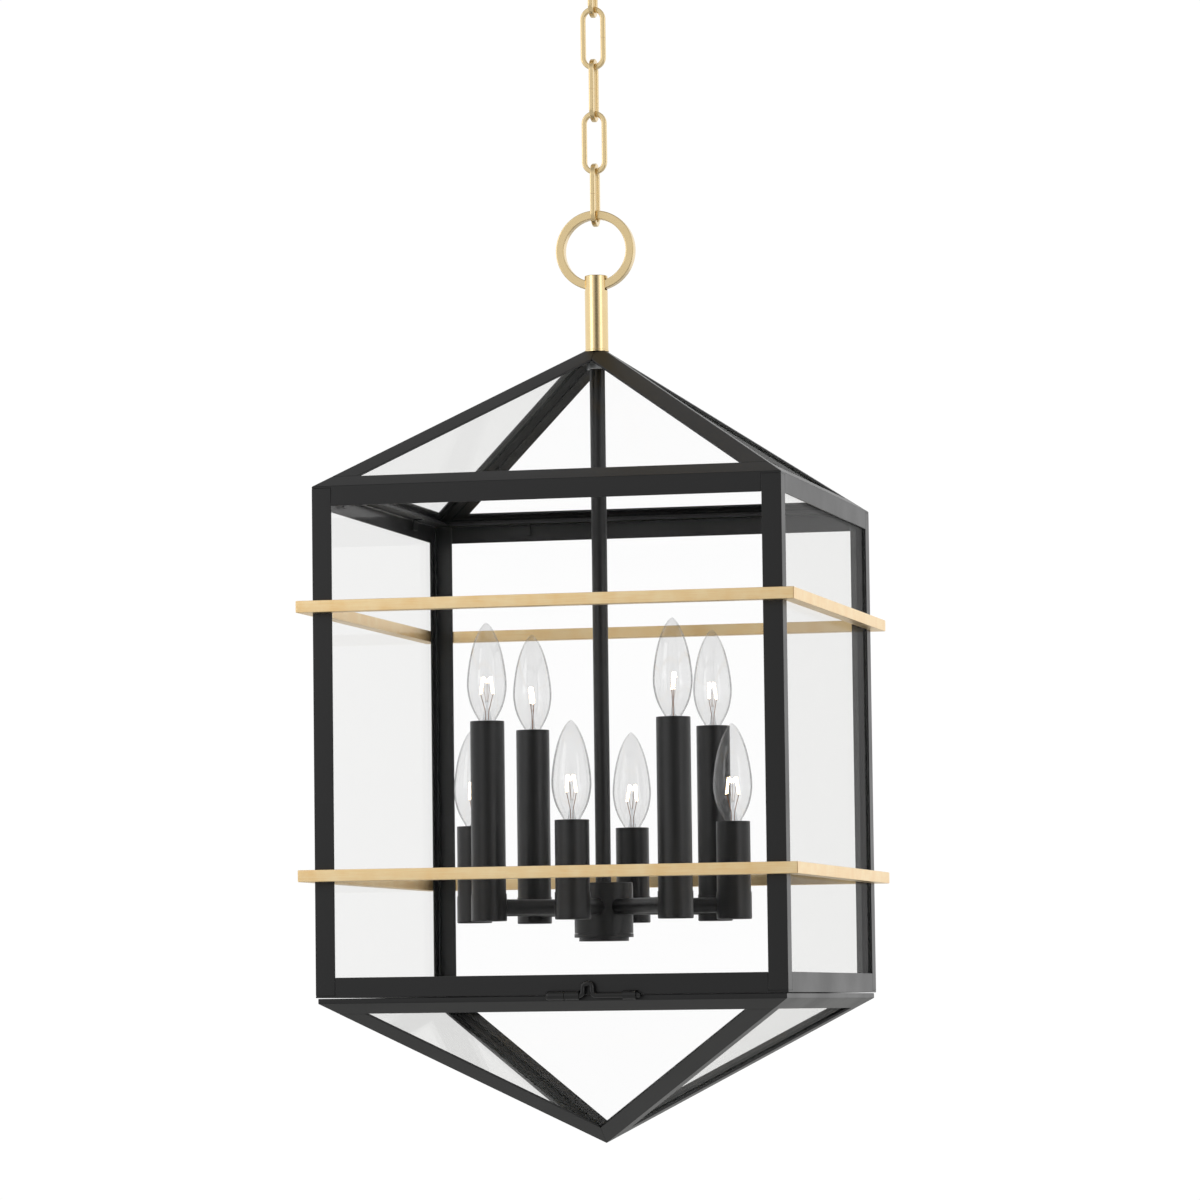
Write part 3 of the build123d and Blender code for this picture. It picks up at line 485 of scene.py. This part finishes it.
roundShading = 60  # degrees, blown and drawn pieces shade round up to this
bulb = {
    "wall": 0.0007,
    "stretch": 1.02,  # the outline is a little taller than the design's
    "rimDrop": 0.0019,  # the glass goes this far down into the tube
    "circle": 0.109,
    "segments": 48,
    # half outline in millimetres: radius, height over the tube's rim
    "outline": [
        (6.6, -1.9), (6.65, -0.6), (6.75, 0.3), (7.4, 1.8), (9.0, 4.4), (10.9, 7.85), (12.4, 11.0),
        (13.7, 14.4), (14.6, 17.8), (15.3, 21.4), (15.8, 24.8), (16.0, 28.2), (15.95, 31.4), (15.7, 35.0),
        (15.1, 40.5), (14.1, 47.0), (12.75, 53.5), (11.0, 60.0), (9.1, 65.4), (7.1, 69.8), (5.3, 73.0),
        (3.8, 75.2), (2.5, 76.8), (1.3, 77.9), (0.55, 78.35), (0.0, 78.5)],
}


def spunPiece(name, profile, segments):
    # a point is drawn out along half the section, which is then spun round the Z axis
    deselectAll()
    bpy.ops.mesh.primitive_plane_add(size=0.001, location=(0, 0, 0))
    piece = bpy.context.object
    piece.name = name
    piece.data.name = name
    bpy.ops.object.mode_set(mode="EDIT")
    bpy.ops.mesh.select_all(action="SELECT")
    bpy.ops.mesh.merge(type="CENTER")
    bpy.ops.transform.translate(value=(profile[0][0], 0, profile[0][1]))
    for (r0, z0), (r1, z1) in zip(profile, profile[1:]):
        bpy.ops.mesh.extrude_region_move(TRANSFORM_OT_translate={"value": (r1 - r0, 0, z1 - z0)})
    bpy.ops.mesh.select_all(action="SELECT")
    bpy.ops.mesh.spin(steps=segments, angle=2 * math.pi, center=(0, 0, 0), axis=(0, 0, 1))
    bpy.ops.mesh.select_all(action="SELECT")
    bpy.ops.mesh.remove_doubles(threshold=weld)
    bpy.ops.mesh.normals_make_consistent(inside=False)
    bpy.ops.object.mode_set(mode="OBJECT")
    return piece


def wirePiece(name, points, radius, sides=2):
    # a bent wire: points drawn out one after the other, turned to a curve, given thickness and made a mesh
    deselectAll()
    bpy.ops.mesh.primitive_plane_add(size=0.001, location=(0, 0, 0))
    piece = bpy.context.object
    piece.name = name
    bpy.ops.object.mode_set(mode="EDIT")
    bpy.ops.mesh.select_all(action="SELECT")
    bpy.ops.mesh.merge(type="CENTER")
    bpy.ops.transform.translate(value=points[0])
    for a, b in zip(points, points[1:]):
        step = tuple(q - p for p, q in zip(a, b))
        bpy.ops.mesh.extrude_region_move(TRANSFORM_OT_translate={"value": step})
    bpy.ops.object.mode_set(mode="OBJECT")
    bpy.ops.object.convert(target="CURVE")
    piece = bpy.context.object
    piece.data.bevel_depth = radius
    piece.data.bevel_resolution = sides
    piece.data.use_fill_caps = True
    bpy.ops.object.convert(target="MESH")
    piece = bpy.context.object
    piece.data.name = name
    return piece


def joined(name, *pieces):
    deselectAll()
    for piece in pieces:
        piece.select_set(True)
    bpy.context.view_layer.objects.active = pieces[0]
    bpy.ops.object.join()
    pieces[0].name = name
    pieces[0].data.name = name
    return pieces[0]


def makeBulbGlass():
    # blown torpedo envelope with a real wall, open at the neck
    profile = [(r / 1000, z * bulb["stretch"] / 1000) for r, z in bulb["outline"]]
    piece = spunPiece("bulbGlass", profile, bulb["segments"])
    addModifier(piece, "SOLIDIFY", thickness=bulb["wall"], offset=-1.0)
    smoothed(piece, roundShading)
    paint(piece, bulbGlass)
    return piece


mount = {
    "segments": 24,
    "footLift": 0.0004,  # above the foot of the glass
    "stemRadius": 0.0021,
    "stemTop": 0.0152,
    "leadRadius": 0.00028,
    "supportRadius": 0.00016,
    "leadSpread": 0.0049,
    "leadTop": 0.0215,
    "crown": 0.0365,
    "coilRadius": 0.0009,
    "coilWire": 0.0003,
    "coilTurns": 9,
    "coilSteps": 10,  # points to a turn
    "pressFoot": 0.003,  # the flat press, from the foot of the stem
    "pressTop": 0.011,
    "pressSqueeze": (1.35, 0.6, 1.0),
    "sideDrop": 0.009,  # the two side supports end this far under the crown
    "backDrop": 0.0045,
}


def makeBulbMount():
    # flared glass stem with its flat press, exhaust tube and a button for the supports
    foot = mount["footLift"] - bulb["rimDrop"]
    button = mount["stemTop"]
    flare = [(0.0, 0.0), (0.0052, 0.0), (0.0053, 0.0004), (0.0036, 0.0016), (0.0026, 0.0035),
             (0.0022, 0.006), (mount["stemRadius"], 0.0085), (0.0015, 0.0105), (0.0009, 0.0125)]
    head = [(0.0009, -0.0014), (0.0013, 0.0), (0.0014, 0.0006), (0.0011, 0.0014), (0.0, 0.0016)]
    profile = [(r, foot + z) for r, z in flare] + [(r, button + z) for r, z in head]
    piece = spunPiece("bulbMount", profile, mount["segments"])
    # the press is squeezed flat where the lead wires pass through it
    bpy.ops.object.mode_set(mode="EDIT")
    bpy.ops.mesh.select_all(action="DESELECT")
    bpy.ops.object.mode_set(mode="OBJECT")
    for vertex in piece.data.vertices:
        vertex.select = foot + mount["pressFoot"] < vertex.co.z < foot + mount["pressTop"]
    bpy.ops.object.mode_set(mode="EDIT")
    bpy.ops.transform.resize(value=mount["pressSqueeze"], center_override=(0, 0, 0))
    bpy.ops.object.mode_set(mode="OBJECT")
    smoothed(piece, roundShading)
    paint(piece, stemGlass)
    return piece


def makeBulbWires():
    # two lead wires that lean out of the press, and three thin supports that hold the coil's bends
    spread, leadTop, crown = mount["leadSpread"], mount["leadTop"], mount["crown"]
    button = mount["stemTop"]
    wires = []
    for side in (-1, 1):
        path = [(0.0012, 0.0), (0.0013, 0.0075), (0.0018, 0.0095), (0.0033, 0.0155), (spread, leadTop),
                (spread + 0.0005, leadTop + 0.0012)]
        wires.append(wirePiece("leadWire", [(side * out, 0, up) for out, up in path], mount["leadRadius"]))
    for angle in (90, 210, 330):
        x, y = math.cos(math.radians(angle)), math.sin(math.radians(angle))
        top = crown - (mount["backDrop"] if angle == 90 else mount["sideDrop"])
        path = [(0.0009, button + 0.0006), (0.0016, button + 0.005), (0.0026, top - 0.002),
                (0.0024, top + 0.0007), (0.0016, top + 0.0003)]
        wires.append(wirePiece("support", [(x * out, y * out, up) for out, up in path],
                               mount["supportRadius"], 1))
    piece = joined("bulbWires", *wires)
    smoothed(piece, roundShading)
    paint(piece, leadWire)
    return piece


def coilSpan(start, end):
    # a coiled length of filament between two points
    steps = mount["coilSteps"]
    count = mount["coilTurns"] * steps
    a, b = Vector(start), Vector(end)
    along = (b - a).normalized()
    side = along.cross(Vector((0, 1, 0.1))).normalized()
    other = along.cross(side)
    points = []
    for i in range(count + 1):
        angle = 2 * math.pi * i / steps
        swing = side * math.cos(angle) + other * math.sin(angle)
        points.append(tuple(a.lerp(b, i / count) + swing * mount["coilRadius"]))
    return wirePiece("coil", points, mount["coilWire"], 1)


def makeBulbFilament():
    # the coil goes up from one lead, over the high support and down to the other lead
    spread, leadTop, crown = mount["leadSpread"], mount["leadTop"], mount["crown"]
    bends = [(-spread, 0, leadTop + 0.0008), (-0.0032, 0.001, crown - 0.001),
             (0, 0.0022, crown - mount["backDrop"]), (0.0032, 0.001, crown - 0.001),
             (spread, 0, leadTop + 0.0008)]
    piece = joined("bulbFilament", *[coilSpan(a, b) for a, b in zip(bends, bends[1:])])
    smoothed(piece, roundShading)
    paint(piece, glowingWire)
    return piece


bulbCap = {
    "gap": 0.0002,  # under the foot of the glass
    "crest": 0.0059,
    "root": 0.0054,
    "pitch": 0.0025,
    "threads": 4,
    "segments": 32,
    "shading": 50,
}


def makeBulbCap():
    # screw cap with ring-shaped threads, an insulating ring and the solder contact
    crest, root, pitch = bulbCap["crest"], bulbCap["root"], bulbCap["pitch"]
    top = -bulb["rimDrop"] - bulbCap["gap"]
    profile = [(0.0, top), (0.0056, top), (crest, top - 0.0006)]
    z = top - 0.0014
    for thread in range(bulbCap["threads"]):
        profile += [(root, z), (crest, z - pitch * 0.3), (crest, z - pitch * 0.6), (root, z - pitch * 0.9)]
        z -= pitch
    contact = [(0.0052, 0.0003), (0.0034, 0.0015), (0.0022, 0.0017), (0.0021, 0.0025), (0.0012, 0.003),
               (0.0, 0.0031)]
    profile += [(r, z - drop) for r, drop in contact]
    piece = spunPiece("bulbCap", profile, bulbCap["segments"])
    smoothed(piece, bulbCap["shading"])
    paint(piece, bulbCapMetal)
    return piece


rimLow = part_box("short_sleeves")[1].z
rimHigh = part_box("tall_sleeves")[1].z
bulbKinds = [
    (makeBulbGlass(), "bulb_glass", "bulb_envelopes"),
    (makeBulbMount(), "bulb_glass", "bulb_filaments"),
    (makeBulbWires(), "filament_wire", "bulb_filaments"),
    (makeBulbFilament(), "filament_wire", "bulb_filaments"),
    (makeBulbCap(), "base_brass", "bulb_bases"),
]
# each bulb is screwed in until it stops, so their filaments face different ways (degrees)
bulbTurns = [18, 64, -25, 90, 140, 8, 52, -70]
for index in range(8):
    angle = math.radians(45 * index)
    rim = rimLow if index % 2 == 0 else rimHigh
    spot = Vector((bulb["circle"] * math.cos(angle), bulb["circle"] * math.sin(angle), rim))
    turned = Matrix.Translation(spot) @ Matrix.Rotation(math.radians(bulbTurns[index]), 4, "Z")
    for original, slotName, node in bulbKinds:
        pick(original)
        bpy.ops.object.duplicate()
        piece = bpy.context.object
        piece.name = f"{original.name}{index + 1}".replace(".001", "")
        piece.data.name = piece.name
        piece.data.transform(turned)
        mounted(piece, "lantern", slotName, node)
for original, slotName, node in bulbKinds:
    bpy.data.objects.remove(original)
print("bulbs made")


# studio: floor, room, lights and camera
studio = {
    "floorDrop": 2.4,  # metres under the lantern's lowest point
    "floorRadius": 24.0,
    "floorColour": "#f4f4f2",
    "skyWhite": 1.02,
    "keyPlace": (-1.9, -2.3, 0.3),
    "keySize": (1.2, 1.6),
    "keyPower": 9.0,
    "fillPlace": (2.6, -1.6, -0.2),
    "fillSize": (1.0, 1.8),
    "fillPower": 6.0,
    "zenith": 0.45,  # light left overhead
    "zenithSpan": (0.25, 0.9),  # upward part of a direction over which the light falls off
    # light by direction, from behind the lantern (0) to straight in front of it (1)
    "skyLevels": [(0.62, 0.98), (0.86, 0.93), (0.955, 0.8), (0.985, 0.22)],
    "behind": 1.0,
    "infront": 0.07,
}
# metres, degrees and millimetres of lens
cameraPlace = {
    "azimuth": 13.08,
    "distance": 4.5149,
    "underSill": 0.0129,
    "pitch": 4.264,
    "roll": -0.70,
    "lens": 165.4,
}

deselectAll()
bpy.ops.mesh.primitive_circle_add(
    vertices=96, radius=studio["floorRadius"], fill_type="NGON",
    location=(0, 0, cadBox[0].z - studio["floorDrop"]))
floor = bpy.context.object
floor.name = "studioFloor"
bpy.ops.object.transform_apply(location=True)
floorPaint, tree, place = newMaterial("mattWhiteStudioFloor")
speckle = addNode(tree, "ShaderNodeTexNoise", {"Vector": place, "Scale": 3.0, "Detail": 3.0})
rough = addNode(tree, "ShaderNodeMapRange", {
    "Value": speckle.outputs["Fac"], "To Min": 0.75, "To Max": 0.9})
skin = addNode(tree, "ShaderNodeBsdfPrincipled", {
    "Base Color": linearColour(studio["floorColour"]), "Roughness": rough.outputs[0]})
addNode(tree, "ShaderNodeOutputMaterial", {"Surface": skin.outputs[0]})
paint(floor, floorPaint)

# the room is plain white to the eye; its soft light fades overhead and straight in front, where it is unlit
sky = bpy.data.worlds.new("studioSky")
scene.world = sky
sky.use_nodes = True
tree = sky.node_tree
tree.nodes.clear()
direction = addNode(tree, "ShaderNodeTexCoord").outputs["Generated"]
azimuth = math.radians(cameraPlace["azimuth"])
towardFront = addNode(tree, "ShaderNodeVectorMath", {
    0: direction, 1: (math.sin(azimuth), -math.cos(azimuth), 0)}, operation="DOT_PRODUCT")
spread = addNode(tree, "ShaderNodeMapRange", {
    "Value": towardFront.outputs["Value"], "From Min": -1.0, "From Max": 1.0})
levels = addNode(tree, "ShaderNodeValToRGB", {"Fac": spread.outputs[0]})
ramp = levels.color_ramp
ramp.interpolation = "EASE"
ramp.elements[0].color = [studio["behind"]] * 3 + [1]
ramp.elements[1].color = [studio["infront"]] * 3 + [1]
for position, level in studio["skyLevels"]:
    element = ramp.elements.new(position)
    element.color = (level, level, level, 1)
height = addNode(tree, "ShaderNodeSeparateXYZ", {0: direction}).outputs["Z"]
overhead = addNode(tree, "ShaderNodeMapRange", {
    "Value": height, "From Min": studio["zenithSpan"][0], "From Max": studio["zenithSpan"][1],
    "To Min": 1.0, "To Max": studio["zenith"]}, interpolation_type="SMOOTHSTEP")
lightSky = addNode(tree, "ShaderNodeBackground", {
    "Color": levels.outputs[0], "Strength": overhead.outputs[0]})
whiteSky = addNode(tree, "ShaderNodeBackground", {"Color": (1, 1, 1, 1), "Strength": studio["skyWhite"]})
rays = addNode(tree, "ShaderNodeLightPath")
skies = addNode(tree, "ShaderNodeMixShader", {
    0: rays.outputs["Is Camera Ray"], 1: lightSky.outputs[0], 2: whiteSky.outputs[0]})
addNode(tree, "ShaderNodeOutputWorld", {"Surface": skies.outputs[0]})


def addSoftbox(name, location, target, size, power):
    deselectAll()
    bpy.ops.object.light_add(type="AREA", location=location)
    lamp = bpy.context.object
    lamp.name = name
    lamp.data.shape = "RECTANGLE"
    lamp.data.size, lamp.data.size_y = size
    lamp.data.energy = power
    lamp.rotation_euler = (Vector(target) - Vector(location)).to_track_quat("-Z", "Y").to_euler()
    return lamp


middle = (cadBox[0] + cadBox[1]) / 2
addSoftbox("keySoftbox", studio["keyPlace"], middle, studio["keySize"], studio["keyPower"])
addSoftbox("fillSoftbox", studio["fillPlace"], middle, studio["fillSize"], studio["fillPower"])

bpy.ops.object.camera_add()
camera = bpy.context.object
camera.name = "productCamera"
camera.data.sensor_width = 36.0
camera.data.lens = cameraPlace["lens"]
camera.data.clip_start, camera.data.clip_end = 0.1, 100.0
distance = cameraPlace["distance"]
camera.location = (math.sin(azimuth) * distance, -math.cos(azimuth) * distance,
                   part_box("sill_rails")[0].z - cameraPlace["underSill"])
aim = (Matrix.Rotation(azimuth, 4, "Z") @ Matrix.Rotation(math.radians(90 + cameraPlace["pitch"]), 4, "X")
       @ Matrix.Rotation(math.radians(cameraPlace["roll"]), 4, "Z"))
camera.rotation_euler = aim.to_euler()
scene.camera = camera
scene.view_settings.view_transform = "Standard"
scene.view_settings.look = "None"
scene.cycles.transparent_max_bounces = 40
deselectAll()
print("studio ready")
